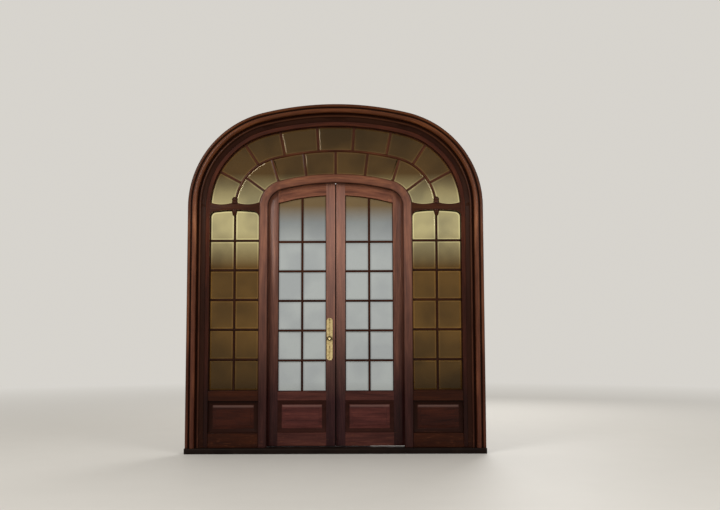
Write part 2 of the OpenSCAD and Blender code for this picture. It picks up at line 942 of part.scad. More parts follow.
// A plate on each face of the left-hand meeting stile, with a collar round the spindle
module lock_plates() {
    color(brass) on_side(LEFT) for (face = [[leaf_y0, -1], [leaf_y1, 1]]) difference() {
        union() {
            slab(min(face[0], face[0] + face[1] * lock_plate_t),
                 max(face[0], face[0] + face[1] * lock_plate_t)) lock_plate_outline();
            slab(min(face[0], face[0] + face[1] * (lock_plate_t + collar_t)),
                 max(face[0], face[0] + face[1] * (lock_plate_t + collar_t)))
                translate([lock_x, knob_h]) circle(collar_r);
        }
        slab(face[0] - leaf_t / 2, face[0] + leaf_t / 2) lock_holes();
    }
}

// Two round knobs on one spindle through the left-hand meeting stile
module door_knob() {
    half_len = leaf_t / 2 + lock_plate_t + knob_out;
    color(brass) translate([-lock_x, leaf_glass_y, sill_t + knob_h])
        rotate([90, 0, 0]) rotate_extrude() {
            translate([0, -half_len]) square([spindle_r, 2 * half_len]);
            for (turn = [0, 1]) mirror([0, turn]) translate([0, half_len]) knob_section();
        }
}

// Section of a knob's head, round at its rim, flat behind and dished in front
module knob_section() {
    hollow_r = (dish_r ^ 2 + dish_depth ^ 2) / (2 * dish_depth);
    difference() {
        union() {
            translate([0, -knob_t / 2]) square([knob_r - knob_t / 2, knob_t]);
            translate([knob_r - knob_t / 2, 0]) intersection() {
                circle(knob_t / 2);
                translate([-slack, -knob_t]) square([knob_t, 2 * knob_t]);
            }
        }
        translate([0, knob_t / 2 - dish_depth + hollow_r]) circle(hollow_r);
    }
}

sill();
casing_leg(LEFT);  // left_casing_leg
casing_leg(RIGHT);  // right_casing_leg
casing_haunch(LEFT);  // left_casing_haunch
casing_haunch(RIGHT);  // right_casing_haunch
casing_crown();
jamb(LEFT);  // left_jamb
jamb(RIGHT);  // right_jamb
frame_arch();
post(LEFT);  // left_post
post(RIGHT);  // right_post
door_head();
transom(LEFT);  // left_transom
transom(RIGHT);  // right_transom
fanlight_curved_bar();
fanlight_outer_bars();
fanlight_inner_bars();
fanlight_outer_glass();
fanlight_inner_glass();
sidelight_rails(LEFT);  // left_sidelight_rails
sidelight_panel(LEFT);  // left_sidelight_panel
sidelight_bars(LEFT);  // left_sidelight_bars
sidelight_glass(LEFT);  // left_sidelight_glass
sidelight_rails(RIGHT);  // right_sidelight_rails
sidelight_panel(RIGHT);  // right_sidelight_panel
sidelight_bars(RIGHT);  // right_sidelight_bars
sidelight_glass(RIGHT);  // right_sidelight_glass
frame_hinges(LEFT);  // left_frame_hinges
frame_hinges(RIGHT);  // right_frame_hinges
hinge_stile(LEFT);  // left_leaf_hinge_stile
meeting_stile(LEFT);  // left_leaf_meeting_stile
leaf_top_rail(LEFT);  // left_leaf_top_rail
leaf_rails(LEFT);  // left_leaf_rails
leaf_panel(LEFT);  // left_leaf_panel
leaf_bars(LEFT);  // left_leaf_bars
leaf_glass(LEFT);  // left_leaf_glass
leaf_hinges(LEFT);  // left_leaf_hinges
hinge_stile(RIGHT);  // right_leaf_hinge_stile
meeting_stile(RIGHT);  // right_leaf_meeting_stile
leaf_top_rail(RIGHT);  // right_leaf_top_rail
leaf_rails(RIGHT);  // right_leaf_rails
leaf_panel(RIGHT);  // right_leaf_panel
leaf_bars(RIGHT);  // right_leaf_bars
leaf_glass(RIGHT);  // right_leaf_glass
leaf_hinges(RIGHT);  // right_leaf_hinges
lock_plates();
door_knob();
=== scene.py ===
"""Looks of an arched entrance door set: varnished mahogany, bevelled panes and worn brass."""

import json
import math
import random

import bmesh
import bpy
from mathutils import Matrix, Vector

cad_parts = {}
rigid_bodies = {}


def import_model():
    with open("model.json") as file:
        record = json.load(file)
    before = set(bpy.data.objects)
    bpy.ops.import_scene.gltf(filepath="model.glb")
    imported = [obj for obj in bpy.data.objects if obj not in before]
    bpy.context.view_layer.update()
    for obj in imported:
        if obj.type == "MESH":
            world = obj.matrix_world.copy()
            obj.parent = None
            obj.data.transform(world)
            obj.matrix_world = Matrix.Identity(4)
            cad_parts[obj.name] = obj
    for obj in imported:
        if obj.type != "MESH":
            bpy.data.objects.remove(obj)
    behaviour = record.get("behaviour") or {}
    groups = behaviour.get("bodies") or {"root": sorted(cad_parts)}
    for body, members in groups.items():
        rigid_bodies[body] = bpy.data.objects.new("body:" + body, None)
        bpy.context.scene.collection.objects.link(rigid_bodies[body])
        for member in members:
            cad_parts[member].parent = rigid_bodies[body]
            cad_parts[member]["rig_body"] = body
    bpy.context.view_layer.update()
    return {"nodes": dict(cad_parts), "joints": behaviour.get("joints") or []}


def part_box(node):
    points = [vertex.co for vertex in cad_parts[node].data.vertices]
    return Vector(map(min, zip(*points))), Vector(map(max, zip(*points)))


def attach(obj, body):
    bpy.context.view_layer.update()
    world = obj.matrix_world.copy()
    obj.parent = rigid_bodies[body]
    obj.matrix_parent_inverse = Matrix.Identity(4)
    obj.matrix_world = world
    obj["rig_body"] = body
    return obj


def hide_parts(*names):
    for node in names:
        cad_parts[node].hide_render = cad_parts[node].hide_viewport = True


bl_info = {
    "name": "Arched Entrance Door Set",
    "version": (1, 0, 0),
    "blender": (4, 5, 0),
    "location": "3D View > Sidebar > Door Set",
    "description": "Finishes the timber, glass and brass of an arched entrance door set",
    "category": "Object",
}

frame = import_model()

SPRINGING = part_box("left_casing_leg")[1].z
HALF_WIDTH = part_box("right_casing_leg")[1].x
RIDGE_FRONT = -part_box("right_casing_leg")[0].y
CROWN_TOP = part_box("casing_crown")[1].z
SILL_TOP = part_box("sill")[1].z
FRAME_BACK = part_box("left_post")[1].y
LEAF_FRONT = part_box("left_leaf_rails")[0].y
LEAF_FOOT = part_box("left_leaf_rails")[0].z
LEAF_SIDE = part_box("right_leaf_hinge_stile")[1].x
MEETING_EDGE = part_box("right_leaf_meeting_stile")[0].x
KNOB = sum(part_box("door_knob"), Vector()) / 2

# Heights over the sill's top between which the timber's painted shade at the foot fades out
FOOT_SHADE_FADE = (0.7, 2.3)
# Heights over the springing line between which the tint of the crown comes in
CROWN_FADE = (-0.1, 0.5)
# Heights over the sill's top between which kicks and scuffs fade out
SCUFF_FADE = (0.06, 0.20)
# Width over which the painted shade ends at the inner edge of a panel's moulding
MOULDING_SHADE_FADE = 0.006
# Height over the sill's top up to which the panes have the tint of the foot
TINT_FOOT = 0.56
# Width of the sill's softened edges
SILL_EDGE = 0.003
# Distance of the left leaf's foot seal from the hinge stile's edge, and depth to which the
# meeting seals are let into their stiles
SEAL_END, SEAL_BED = 0.001, 0.0012
# A height that is more than a knuckle's and less than that from one hinge to the next
KNUCKLE_REACH = 0.2
# Heights of the screws, as shares of a lock plate's length, and the turns of their slots
SCREWS = ((0.055, 0.4), (0.34, 1.3), (0.945, 2.2))
# Distances from the set between which the floor fades into the surroundings
FLOOR_FADE = (4.0, 14.0)
# Each lamp's name, place, height that it faces, width, and share of the key light's power
LAMPS = (("key", (-4.2, -6.0, 5.4), 1.9, 3.0, 1.0),
         ("fill", (4.8, -6.0, 4.6), 1.8, 3.0, 0.6),
         ("street", (2.5, 6.5, 4.5), 1.8, 3.5, 0.9))


def srgb(red, green, blue):
    """A linear colour from 0 to 255 values as a screen shows them."""
    def channel(value):
        value /= 255
        return value / 12.92 if value <= 0.04045 else ((value + 0.055) / 1.055) ** 2.4
    return channel(red), channel(green), channel(blue)


def shaded(tint, factor=1.0):
    """A colour made lighter or darker by a factor, as a tuple."""
    return tuple(min(1.0, channel * factor) for channel in tint)


def length(name, description, default, low, high):
    return bpy.props.FloatProperty(
        name=name, description=description, default=default, min=low, max=high,
        unit="LENGTH", precision=5)


def share(name, description, default):
    return bpy.props.FloatProperty(
        name=name, description=description, default=default, min=0.0, max=1.0,
        subtype="FACTOR")


def colour(name, description, default):
    return bpy.props.FloatVectorProperty(
        name=name, description=description, default=default, min=0.0, max=1.0, size=3,
        subtype="COLOR")


class TimberSettings(bpy.types.PropertyGroup):
    """Arch line, edges and colours of the mahogany."""

    haunch_radius: length("Haunch Radius", "Radius of the casing's haunches", 1.0, 0.5, 1.5)
    edge: length("Edge Softening", "Width of the softened edges", 0.0015, 0.0001, 0.01)
    bar_edge: length("Bar Edge", "Width of the bars' softened edges", 0.0008, 0.0001, 0.005)
    bar: length("Bar Width", "Width of the glazing bars", 0.024, 0.01, 0.04)
    bead: length("Bead Width", "Width of the beads round the panes", 0.008, 0.002, 0.02)
    moulding: length("Moulding Width", "Width of the moulding round a panel", 0.046, 0.02, 0.08)
    bevel: length("Bevel Width", "Width of the bevel round a panel's field", 0.032, 0.005, 0.05)
    row: length("Row Height", "Height from one cross bar to the next", 0.304, 0.1, 0.6)
    bell: length("Drop Bell", "Radius of the bell round a transom's drop", 0.027, 0.019, 0.028)
    bell_height: length("Bell Height", "Height of that bell over the drop's end", 0.042, 0.02, 0.05)
    bell_drop: length("Bell Drop", "How far that bell passes the drop's end", 0.008, 0.001, 0.02)
    light: colour("Light Grain", "Colour of the pale grain", srgb(132, 80, 52))
    mid: colour("Mid Grain", "Colour of most of the timber", srgb(94, 52, 34))
    dark: colour("Dark Grain", "Colour of the dark grain and pores", srgb(46, 20, 12))
    # Painted shade: the colour that darkens the recesses and the moulding round the panels
    painted_shade_colour: colour("Soiled Corners", "Colour of old varnish in the corners", srgb(30, 12, 6))
    # Painted sheen: pale colour laid on the middle heights of posts, stiles and top rails, and on
    # the panels' upper bevels
    painted_sheen: colour("Bloom", "Colour of old varnish that hands have dulled", srgb(170, 138, 128))
    varnish: share("Varnish", "Strength of the clear varnish", 0.14)
    varnish_roughness: share("Varnish Roughness", "How satin the varnish is", 0.14)
    shine: share("Shine", "Reflection of the timber under the varnish", 0.05)


class GlassSettings(bpy.types.PropertyGroup):
    """Shape and colours of the panes."""

    bevel: length("Bevel Width", "Width of the bevel round each pane", 0.013, 0.002, 0.04)
    rim: length("Rim Thickness", "Thickness of a pane at its rim", 0.003, 0.001, 0.008)
    clear: colour("Clear Glass", "Colour of the leaves' panes", (0.60, 0.65, 0.66))
    # Painted reflection: the amber of the leaves' arched panes
    painted_top_reflection: colour("Clear Glass, Top", "Colour of the leaves' arched panes", (0.24, 0.16, 0.07))
    foot: colour("Bronze Glass, Foot", "Colour of the lowest tinted panes", (0.036, 0.017, 0.004))
    bronze: colour("Bronze Glass", "Colour of most tinted panes", (0.15, 0.078, 0.020))
    gold: colour("Bronze Glass, Top", "Colour of the sidelights' top panes", (0.68, 0.60, 0.31))
    fan: colour("Fanlight Glass", "Colour of the fanlight's panes", (0.115, 0.062, 0.020))


class BrassSettings(bpy.types.PropertyGroup):
    """Colours and details of the lock set and hinges."""

    bright: colour("Bright Brass", "Colour where hands polish it", srgb(226, 204, 148))
    dull: colour("Dull Brass", "Colour of the tarnish", srgb(120, 96, 56))
    # Painted shade: the dark round the knobs' rim and neck
    rim: colour("Knob Rim", "Colour of the knobs' blackened rim and neck", srgb(48, 34, 18))
    edge: length("Brass Edge", "Width of the softened edges of plates and knobs", 0.0006,
                 0.0001, 0.002)
    hinge_edge: length("Hinge Edge", "Width of the hinges' softened edges", 0.0004, 0.0001, 0.001)
    plate: length("Plate Thickness", "Thickness of the lock plates", 0.004, 0.002, 0.008)
    border: length("Border", "Width of the lock plates' raised border", 0.005, 0.002, 0.015)
    sunk: length("Sunk Field", "Depth of the field inside the border", 0.0012, 0.0002, 0.003)
    screw: length("Screw Head", "Radius of a screw head", 0.0045, 0.001, 0.01)
    slot: length("Screw Slot", "Width of a screw's slot", 0.0012, 0.0002, 0.003)


class SealSettings(bpy.types.PropertyGroup):
    """Brush seals in the gaps round the leaves."""

    pile: colour("Pile", "Colour of the brushes", srgb(26, 20, 17))
    thick: length("Thickness", "Thickness of a seal", 0.006, 0.002, 0.01)
    left_in: length("Left Setback", "Depth of the left leaf's seals", 0.012, 0.001, 0.02)
    right_in: length("Right Setback", "Depth of the right leaf's seals", 0.005, 0.001, 0.02)
    tip_gap: length("Tip Gap", "Distance of the foot seals from the sill", 0.0006, 0.0001, 0.003)
    ragged: length("Ragged Tips", "How uneven the bristles are", 0.0005, 0.0, 0.001)
    lap: length("Lap", "How far the meeting seals pass the meeting line", 0.0018, 0.0, 0.0025)
    worn_end: length("Worn End", "Where the right leaf's worn foot seal ends", 0.35, 0.1, 0.68)


class StageSettings(bpy.types.PropertyGroup):
    """Camera, lamps and floor."""

    lens: bpy.props.FloatProperty(
        name="Lens", description="Focal length in millimetres", default=45.7, min=20.0,
        max=200.0, unit="CAMERA")
    camera_at: bpy.props.FloatVectorProperty(
        name="Camera", description="Place of the camera", default=(0.25, -9.3, 1.179),
        size=3, subtype="TRANSLATION", unit="LENGTH")
    pitch: bpy.props.FloatProperty(
        name="Pitch", description="Upward tilt of the camera", default=math.radians(5.0),
        subtype="ANGLE", unit="ROTATION")
    roll: bpy.props.FloatProperty(
        name="Roll", description="Turn of the picture", default=math.radians(-0.15),
        subtype="ANGLE", unit="ROTATION")
    floor: colour("Floor", "Colour of the floor", (0.57, 0.55, 0.515))
    sky: colour("Surroundings", "Colour of the surroundings", (0.87, 0.84, 0.785))
    glow: share("Glow", "Brightness of the surroundings", 0.78)
    key: bpy.props.FloatProperty(
        name="Key Light", description="Power of the main lamp", default=270.0, min=0.0,
        subtype="POWER")


class Link:
    """An output socket, on which plain arithmetic adds Math nodes."""

    def __init__(self, finish, socket):
        self.finish = finish
        self.socket = socket

    def out(self, name):
        return Link(self.finish, self.socket.node.outputs[name])

    def math(self, operation, *values):
        return self.finish.add("Math", {"operation": operation}, dict(enumerate(values)))

    def __add__(self, other):
        return self.math("ADD", self, other)

    def __sub__(self, other):
        return self.math("SUBTRACT", self, other)

    def __rsub__(self, other):
        return self.math("SUBTRACT", other, self)

    def __mul__(self, other):
        return self.math("MULTIPLY", self, other)

    def __lt__(self, other):
        return self.math("LESS_THAN", self, other)

    def __gt__(self, other):
        return self.math("GREATER_THAN", self, other)

    def __abs__(self):
        return self.math("ABSOLUTE", self)

    def __pow__(self, other):
        return self.math("POWER", self, other)

    def __mod__(self, other):
        return self.math("FLOORED_MODULO", self, other)

    __radd__ = __add__
    __rmul__ = __mul__


class Finish:
    """A material whose nodes are added one call at a time."""

    def __init__(self, name):
        self.material = bpy.data.materials.new(name)
        self.material.use_nodes = True
        self.tree = self.material.node_tree
        self.shader = self.tree.nodes["Principled BSDF"]

    def add(self, kind, settings=None, inputs=None, output=0):
        """Adds a node, sets it up, feeds its sockets and returns one of its outputs."""
        node = self.tree.nodes.new("ShaderNode" + kind)
        for name, value in (settings or {}).items():
            if name == "stops":
                elements = node.color_ramp.elements
                for element, (place, tint) in zip(elements, value):
                    element.position, element.color = place, (*tint, 1.0)
                for place, tint in value[len(elements):]:
                    elements.new(place).color = (*tint, 1.0)
            else:
                setattr(node, name, value)
        for name, value in (inputs or {}).items():
            self.feed(node.inputs[name], value)
        return Link(self, node.outputs[output])

    def feed(self, socket, value):
        if isinstance(value, Link):
            self.tree.links.new(value.socket, socket)
        else:
            socket.default_value = value

    def set(self, **values):
        """Sets or feeds the shader's sockets, whose names are written with underscores."""
        for name, value in values.items():
            if isinstance(value, tuple) and len(value) == 3:
                value = (*value, 1.0)
            self.feed(self.shader.inputs[name.replace("_", " ")], value)

    def place(self):
        """The point on the piece, in metres."""
        return self.add("TexCoord").out("Object")

    def split(self, vector):
        parts = self.add("SeparateXYZ", None, {0: vector})
        return [parts.out(axis) for axis in "XYZ"]

    def point(self, x, y, z):
        return self.add("CombineXYZ", None, {0: x, 1: y, 2: z})

    def noise(self, vector, scale=1.0, detail=3.0, roughness=0.5):
        return self.add("TexNoise", None, {
            "Vector": vector, "Scale": scale, "Detail": detail, "Roughness": roughness})

    def ramp(self, value, *stops):
        return self.add("ValToRGB", {"stops": stops}, {0: value})

    def blend(self, factor, first, second, mode="MIX"):
        """Colours mixed by a factor from 0 to 1."""
        def tint(value):
            return (*value, 1.0) if isinstance(value, tuple) else value
        return self.add("Mix", {"data_type": "RGBA", "blend_type": mode},
                        {0: factor, 6: tint(first), 7: tint(second)}, 2)

    def between(self, value, low, high, start=0.0, end=1.0):
        """Value carried from low and high to start and end, and held there."""
        return self.add("MapRange", None, {0: value, 1: low, 2: high, 3: start, 4: end})

    def bump(self, height, distance, strength=1.0):
        self.set(Normal=self.add("Bump", None, {
            "Height": height, "Distance": distance, "Strength": strength}))


def smallest(first, *others):
    for other in others:
        first = first.math("MINIMUM", first, other)
    return first


def arch_line(x, z, haunch_radius):
    """Length along the arch line and distance inwards from it, at a point of the set."""
    haunch_x = HALF_WIDTH - haunch_radius
    lift = CROWN_TOP - SPRINGING - haunch_radius
    drop = (haunch_x ** 2 - lift ** 2) / (2 * lift)
    crown_radius = haunch_radius + lift + drop
    join = math.atan2(haunch_x, drop)
    aside, up = abs(x) - haunch_x, z - SPRINGING
    turn = aside.math("ARCTAN2", aside, up)
    crown_turn = aside.math("ARCTAN2", abs(x), up + drop)
    haunch_far = (aside * aside + up * up) ** 0.5
    crown_far = (x * x + (up + drop) * (up + drop)) ** 0.5
    below, over = up < 0, (turn < join) * (up > 0)
    beside = 1 - below - over
    haunch_end = SPRINGING + haunch_radius * (math.pi / 2 - join)
    along = (below * z
             + beside * (SPRINGING + haunch_radius * (math.pi / 2 - turn))
             + over * (haunch_end + crown_radius * (join - crown_turn)))
    inwards = (below * (haunch_radius - aside)
               + beside * (haunch_radius - haunch_far)
               + over * (crown_radius - crown_far))
    return along, inwards


def grain_axes(finish, run, settings, pane_low):
    """Coordinates along and across the grain: up, across, bars, arch or spokes."""
    x, y, z = finish.split(finish.place())
    if run == "up":
        return x, y, z, z, x
    if run == "across":
        return x, y, z, x, z
    if run == "bars":
        half_row = settings.row / 2
        from_bar = abs((z - pane_low + half_row) % settings.row - half_row)
        in_row = from_bar < settings.bar / 2
        return x, y, z, in_row * x + (1 - in_row) * z, in_row * z + (1 - in_row) * x
    line, inwards = arch_line(x, z, settings.haunch_radius)
    if run == "arch":
        return x, y, z, line, inwards
    return x, y, z, inwards, line


def mahogany(name, settings, run, tone_with_painted_light, recess, foot, high, painted_sheen, mould, pane_low):
    """Varnished mahogany with its grain along the run, multiplied by a tone that is partly its
    own and partly painted light, shade and sheen. Corners are darkened by their depth behind
    the member's faces as a painted shade: recess gives the member's middle and half depth, and
    the depths where this shade starts and is full. The timber takes on the tint foot low down
    as a painted shade and the tint high towards the crown, and a pale painted sheen of the
    given strength lies on it between the two. Where mould gives a panel's corners, on the
    set's right side, the moulding round the panel gets painted shade and its upper bevel a
    painted highlight."""
    finish = Finish(name)
    x, y, z, along, aside = grain_axes(finish, run, settings, pane_low)

    def fibres(aside, stretch, fineness, detail, roughness=0.5):
        """Noise that is drawn out along the grain."""
        point = finish.point(along * stretch, aside * fineness, y * fineness)
        return finish.noise(point, 1.0, detail, roughness)

    aside = aside + fibres(aside, 1.1, 2.0, 2.0) * 0.05
    figure = fibres(aside, 1.6, 16.0, 4.0, 0.55)
    grain = fibres(aside, 5.0, 120.0, 6.0, 0.6)
    pores = fibres(aside, 28.0, 620.0, 2.0)
    patch = finish.noise(finish.point(x * 1.9, y * 1.9, z * 1.4))
    wood = finish.ramp(figure * 0.55 + grain * 0.45, (0.28, tuple(settings.dark)),
                       (0.50, tuple(settings.mid)), (0.70, tuple(settings.light)))
    pore = finish.between(pores, 0.56, 0.70)
    wood = finish.blend(pore * 0.4, wood, tuple(settings.dark))
    # The member's tone: partly its own colour, partly painted light, shade and sheen
    wood = finish.blend(1.0, wood, tone_with_painted_light, "MULTIPLY")
    stained = finish.between(patch, 0.38, 0.62, 0.0, 0.4)
    wood = finish.blend(stained, wood, (0.62, 0.56, 0.52), "MULTIPLY")
    # Painted shade: the timber darkens towards the foot by the tint foot
    low = finish.between(z + patch * 0.5 - SILL_TOP, *FOOT_SHADE_FADE, 1.0, 0.0)
    wood = finish.blend(low, wood, foot, "MULTIPLY")
    crown = finish.between(z - SPRINGING, *CROWN_FADE)
    wood = finish.blend(crown, wood, high, "MULTIPLY")
    # Painted sheen: a pale reflection laid on between the darker foot and the crown
    if painted_sheen:
        sheen_band = (1 - low) * (1 - crown)
        wood = finish.blend(sheen_band * painted_sheen, wood, tuple(settings.painted_sheen))
    middle, half, start, end = recess
    # Painted shade: darker, and with less varnish, the deeper a point lies behind the member's
    # faces
    painted_recess_shade = finish.between(half - abs(y - middle), start, end, 0.0, 0.92)
    if mould:
        low_corner, high_corner = mould
        beside = smallest(abs(x) - low_corner.x, high_corner.x - abs(x),
                          z - low_corner.z, high_corner.z - z)
        # Painted shade on the moulding round the panel, fading out at its inner edge
        edge = finish.between(beside, settings.moulding - MOULDING_SHADE_FADE,
                              settings.moulding, 0.82, 0.0)
        painted_recess_shade = painted_recess_shade.math("MAXIMUM", painted_recess_shade, edge)
        # Painted highlight: the panel's upper bevel is made paler in the sheen colour
        from_bevel = high_corner.z - z - settings.moulding - settings.bevel * 0.3
        rubbed = finish.between(abs(from_bevel), 0.0, settings.bevel * 0.6, 0.2, 0.0)
        wood = finish.blend(rubbed * (beside > settings.moulding), wood, tuple(settings.painted_sheen))
    wood = finish.blend(painted_recess_shade, wood, tuple(settings.painted_shade_colour))
    scratch = finish.noise(finish.point(x * 14.0, y * 14.0, z * 90.0), 1.0, 4.0, 0.6)
    scuffed = finish.between(z - SILL_TOP, *SCUFF_FADE, 0.25, 0.0)
    kicked = finish.between(scratch, 0.60, 0.68) * scuffed
    wood = finish.blend(kicked, wood, tuple(settings.light))
    finish.set(Base_Color=wood,
               Roughness=finish.between(grain + patch + kicked, 0.7, 1.4, 0.27, 0.46),
               Specular_IOR_Level=settings.shine,
               Coat_Weight=(1 - painted_recess_shade) * settings.varnish,
               Coat_Roughness=settings.varnish_roughness)
    finish.bump(grain * 0.6 + pore * -0.4 + kicked * -0.5, 0.00025, 0.5)
    return finish.material


def recesses():
    """For each kind of recess the member's middle and half depth, and the depths behind its
    faces where the painted shade starts and is full."""
    middle, leaf_middle = FRAME_BACK / 2, (LEAF_FRONT + FRAME_BACK) / 2
    panel_low, panel_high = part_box("right_leaf_panel")
    half_panel = (panel_high.y - panel_low.y) / 2
    return {"casing": (0.0, RIDGE_FRONT, 0.018, 0.032),
            "frame": (middle, middle, 0.002, 0.020),
            "leaf": (leaf_middle, (FRAME_BACK - LEAF_FRONT) / 2, 0.002, 0.018),
            "bars": (middle, FRAME_BACK, 0.12, 0.16),
            "panel": (middle, half_panel, 0.011, 0.020),
            "leaf panel": (leaf_middle, half_panel, 0.011, 0.020)}


# Tints of a member's foot or crown: none, a dim one and a dark purplish one. At the foot
# they are painted shade.
EVEN, DIM, DUSK = (1.0, 1.0, 1.0), (0.60, 0.52, 0.55), (0.21, 0.17, 0.25)

# For each kind of member: the run of its grain, its tone (partly its own, partly painted
# light, shade and sheen), its recess, the tints of its foot (a painted shade) and of its
# crown, and the strength of its painted sheen
MEMBERS = {
    "casing": ("arch", (1.42, 1.62, 1.68), "casing", DIM, (0.57, 0.48, 0.32), 0.0),
    "frame": ("arch", (0.46, 0.32, 0.24), "frame", (0.30, 0.24, 0.34), EVEN, 0.0),
    "posts": ("arch", (1.25, 1.45, 1.80), "frame", DUSK, (0.72, 0.62, 0.42), 0.12),
    "transoms": ("across", (0.34, 0.28, 0.18), "frame", DUSK, EVEN, 0.0),
    "fan_bars": ("arch", (0.50, 0.44, 0.38), "bars", DIM, EVEN, 0.0),
    "spokes": ("spokes", (0.46, 0.40, 0.34), "bars", DIM, EVEN, 0.0),
    "sidelight_rails": ("across", (0.62, 0.52, 0.36), "frame", (0.55, 0.45, 0.40), EVEN, 0.0),
    "sidelight_panel": ("across", (0.55, 0.44, 0.36), "panel", (0.50, 0.38, 0.42), EVEN, 0.0),
    "sidelight_bars": ("bars", (0.26, 0.21, 0.14), "bars", DIM, EVEN, 0.0),
    "leaf_hinge_stile": ("up", (1.35, 1.60, 2.00), "leaf", (0.18, 0.14, 0.22), EVEN, 0.06),
    "leaf_meeting_stile": ("up", (1.65, 2.00, 2.60), "leaf", (0.13, 0.10, 0.18), EVEN, 0.30),
    "leaf_top_rail": ("arch", (1.45, 1.65, 2.00), "leaf", DUSK, (0.90, 0.85, 0.75), 0.05),
    "leaf_rails": ("across", (1.05, 1.15, 1.60), "leaf", (0.50, 0.42, 0.50), EVEN, 0.0),
    "leaf_panel": ("across", (1.10, 1.10, 1.60), "leaf panel", (0.55, 0.45, 0.55), EVEN, 0.0),
    "leaf_bars": ("bars", (0.34, 0.28, 0.20), "bars", DIM, EVEN, 0.0),
}


def timber(context, kind, pane_low=0.0):
    """The mahogany of one kind of member, whose lowest pane starts at the height pane_low."""
    run, tone_with_painted_light, recess, foot, high, painted_sheen = MEMBERS[kind]
    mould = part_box("right_" + kind) if kind.endswith("panel") else None
    return finished("mahogany_" + kind, mahogany, context.scene.door_timber, run, tone_with_painted_light,
                    recesses()[recess], foot, high, painted_sheen, mould, pane_low)


def finished(name, maker, *values):
    """The named material, made on its first use."""
    return bpy.data.materials.get(name) or maker(name, *values)


def worn_brass(name, settings):
    """Bright rubbed brass, dull in patches and streaks and down the middle of the plates."""
    finish = Finish(name)
    point = finish.place()
    x, y, z = finish.split(point)
    tarnish = finish.noise(point, 46.0, 5.0, 0.62)
    streaks = finish.noise(finish.point(x * 900.0, y * 900.0, z * 40.0), 1.0, 3.0, 0.5)
    spine = finish.between(abs(x - KNOB.x), 0.003, 0.011, 0.34, 0.0)
    dull = finish.between(tarnish + streaks * 0.3, 0.62, 0.95) + spine * (0.6 + tarnish)
    finish.set(Base_Color=finish.blend(dull, tuple(settings.bright), tuple(settings.dull)),
               Metallic=1.0,
               Roughness=finish.between(dull + streaks * 0.4, 0.0, 1.2, 0.26, 0.48))
    finish.bump(tarnish, 0.0002, 0.35)
    return finish.material


def knob_brass(name, settings):
    """Brass of the knobs: dark round the rim and in the neck as a painted shade, and bright in the
    middle as a painted highlight.
    """
    finish = Finish(name)
    point = finish.place()
    x, _, z = finish.split(point)
    aside, up = x - KNOB.x, z - KNOB.z
    off_axis = (aside * aside + up * up) ** 0.5
    tarnish = finish.noise(point, 60.0, 5.0, 0.6)
    # Painted shade round the knob's rim and painted highlight in its middle
    rim_shade = finish.between(off_axis, 0.010, 0.014) + (tarnish - 0.5) * 0.5
    finish.set(Base_Color=finish.blend(finish.between(rim_shade, 0.0, 1.0), tuple(settings.bright),
                                       tuple(settings.rim)),
               Metallic=1.0, Roughness=finish.between(rim_shade, 0.0, 1.0, 0.2, 0.42))
    finish.bump(tarnish, 0.0002, 0.3)
    return finish.material


def pane_glass(name, heights, lift, cloudy, sheen, roughness):
    """Rippled drawn glass, tinted by pairs of height and colour and lighter by the factor lift,
    which on a pane's bevel is a painted highlight or shade. The tint cloudy deepens it in
    patches, and its reflections have the colour sheen."""
    finish = Finish(name)
    point = finish.place()
    z = finish.split(point)[2]
    low, high = heights[0][0], heights[-1][0]
    tint = finish.ramp(finish.between(z, low, high), *(
        ((height - low) / (high - low), shaded(shade, lift)) for height, shade in heights))
    cloud = finish.noise(point, 2.6, 2.0)
    tint = finish.blend(finish.between(cloud, 0.4, 0.6), tint, cloudy, "MULTIPLY")
    ripple = finish.noise(point, 9.0, 2.0)
    finish.set(Base_Color=tint, Transmission_Weight=1.0, IOR=1.35, Roughness=roughness,
               Specular_Tint=sheen)
    finish.bump(ripple, 0.0006, 0.25)
    return finish.material


def black_granite(name):
    """Dark stone with fine crystals, whose polish is worn in clouds."""
    finish = Finish(name)
    point = finish.place()
    crystals = finish.add("TexVoronoi", None, {"Vector": point, "Scale": 330.0})
    cloud = finish.noise(point, 7.0, 5.0)
    dark = finish.blend(finish.between(crystals, 0.2, 0.7), srgb(26, 14, 9), srgb(11, 6, 4))
    dark = finish.blend(finish.between(cloud, 0.4, 0.7, 0.0, 0.4), dark, srgb(34, 22, 15))
    finish.set(Base_Color=dark, Roughness=finish.between(cloud, 0.3, 0.7, 0.42, 0.62),
               Specular_IOR_Level=0.08)
    finish.bump(cloud, 0.0005, 0.3)
    return finish.material


def brush_pile(name, settings):
    """Dense dark bristles."""
    finish = Finish(name)
    x, y, z = finish.split(finish.place())
    bristles = finish.noise(finish.point(x * 900.0, y * 500.0, z * 900.0), 1.0, 3.0, 0.6)
    finish.set(Base_Color=finish.blend(bristles, shaded(settings.pile, 0.5),
                                       shaded(settings.pile, 1.8)),
               Roughness=finish.between(bristles, 0.3, 0.7, 0.75, 0.95),
               Specular_IOR_Level=0.2)
    finish.bump(bristles, 0.0006, 0.8)
    return finish.material


def body_of(node):
    return frame["nodes"][node]["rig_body"]


def merged_copy(node):
    """The surface of a CAD node as joined faces, with flat faces whole."""
    bm = bmesh.new()
    bm.from_mesh(frame["nodes"][node].data)
    bmesh.ops.remove_doubles(bm, verts=bm.verts, dist=0.00002)
    bmesh.ops.dissolve_limit(bm, angle_limit=math.radians(0.2), verts=bm.verts, edges=bm.edges,
                             delimit=set())
    return bm


